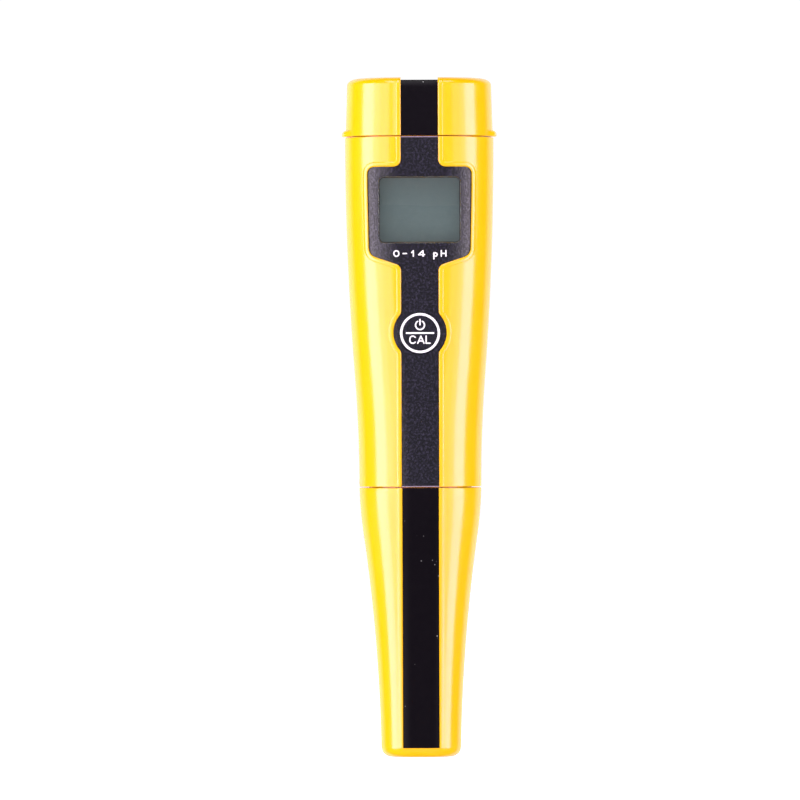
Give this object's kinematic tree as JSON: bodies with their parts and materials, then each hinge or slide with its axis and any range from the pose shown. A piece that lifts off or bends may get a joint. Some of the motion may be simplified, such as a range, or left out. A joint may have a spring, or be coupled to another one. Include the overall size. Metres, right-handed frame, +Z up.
{
  "type": "digital ph meter",
  "caption": "Pen-type digital pH meter: tapered yellow tube with a black centre stripe, display window, round key, pull-off battery cap and protective electrode cap.",
  "frame": {"origin": "middle of the flat base of the electrode cap, with the pen standing upright", "axes": "+Z up the pen, -Y out of the display, +X to the right as the display is read"},
  "size_m": [0.0424, 0.0322, 0.185],
  "materials": {
    "yellow_plastic": "moulded, satin gloss",
    "film_black": "fine-textured film",
    "stripe_black": "smooth inlay",
    "print_white": "screen printed",
    "window_clear": "clear pane",
    "lcd_glass": "polished",
    "reflector_grey": "satin film",
    "black_plastic": "moulded",
    "zebra_rubber": "layered",
    "board_green": "solder mask",
    "chip_epoxy": "moulded",
    "ceramic_tan": "fired",
    "steel": "plain",
    "cell_steel": "nickel plated",
    "carrier_grey": "moulded",
    "contact_brass": "sprung strip",
    "seal_rubber": "seal",
    "sponge": "open cell",
    "barrel_plastic": "moulded",
    "electrode_glass": "blown",
    "silver": "drawn wire",
    "junction_white": "porous"
  },
  "bodies": {
    "cap_base": {"electrode_cap": "yellow_plastic", "electrode_cap_stripe": "stripe_black", "soaking_sponge": "sponge"},
    "meter_body": {"housing": "yellow_plastic", "front_overlay": "film_black", "overlay_print": "print_white", "display_window": "window_clear", "lcd_front_glass": "lcd_glass", "lcd_rear_glass": "lcd_glass", "lcd_reflector": "reflector_grey", "lcd_frame": "black_plastic", "zebra_strips": "zebra_rubber", "main_board": "board_green", "controller_chip": "chip_epoxy", "amplifier_chip": "chip_epoxy", "clock_crystal": "steel", "chip_components": "ceramic_tan", "switch_body": "black_plastic", "board_carrier": "carrier_grey", "board_screws": "steel", "battery_tray": "black_plastic", "button_cells": "cell_steel", "battery_contacts": "contact_brass", "electrode_socket": "black_plastic", "neck_oring": "seal_rubber"},
    "key": {"key_disc": "film_black", "key_print": "print_white", "key_plunger": "seal_rubber", "switch_stem": "black_plastic"},
    "battery_cap": {"battery_cap_shell": "yellow_plastic", "battery_cap_stripe": "stripe_black", "battery_cap_oring": "seal_rubber", "contact_carrier": "black_plastic", "battery_bridge": "contact_brass", "bridge_rivets": "steel"},
    "electrode": {"electrode_barrel": "barrel_plastic", "glass_bulb": "electrode_glass", "glass_stem": "electrode_glass", "silver_wire": "silver", "reference_wire": "silver", "reference_junction": "junction_white", "temperature_probe": "steel", "electrode_plug": "black_plastic", "plug_pins": "contact_brass", "barrel_oring": "seal_rubber"},
    "ring_nut": {"retaining_nut": "black_plastic"}
  },
  "joints": [
    {"name": "meter_lift", "type": "slide", "parent": "cap_base", "child": "meter_body", "axis": [0, 0, 1], "range_m": [0, 0.08]},
    {"name": "battery_cap_pull", "type": "slide", "parent": "meter_body", "child": "battery_cap", "axis": [0, 0, 1], "range_m": [0, 0.025]},
    {"name": "key_press", "type": "slide", "parent": "meter_body", "child": "key", "axis": [0, 1, 0], "range_m": [0, 0.0004], "stiffness_N_per_m": 2000},
    {"name": "electrode_travel", "type": "slide", "parent": "meter_body", "child": "electrode", "axis": [0, 0, -1], "range_m": [0, 0.0046]},
    {"name": "nut_spin", "type": "hinge", "parent": "electrode", "child": "ring_nut", "pos_m": [0, 0, 0.0538], "axis": [0, 0, -1], "range_deg": [0, 1080]}
  ],
  "couplings": [
    {"joint": "electrode_travel", "follows": "nut_spin", "m_per_rad": 0.00023873}
  ]
}
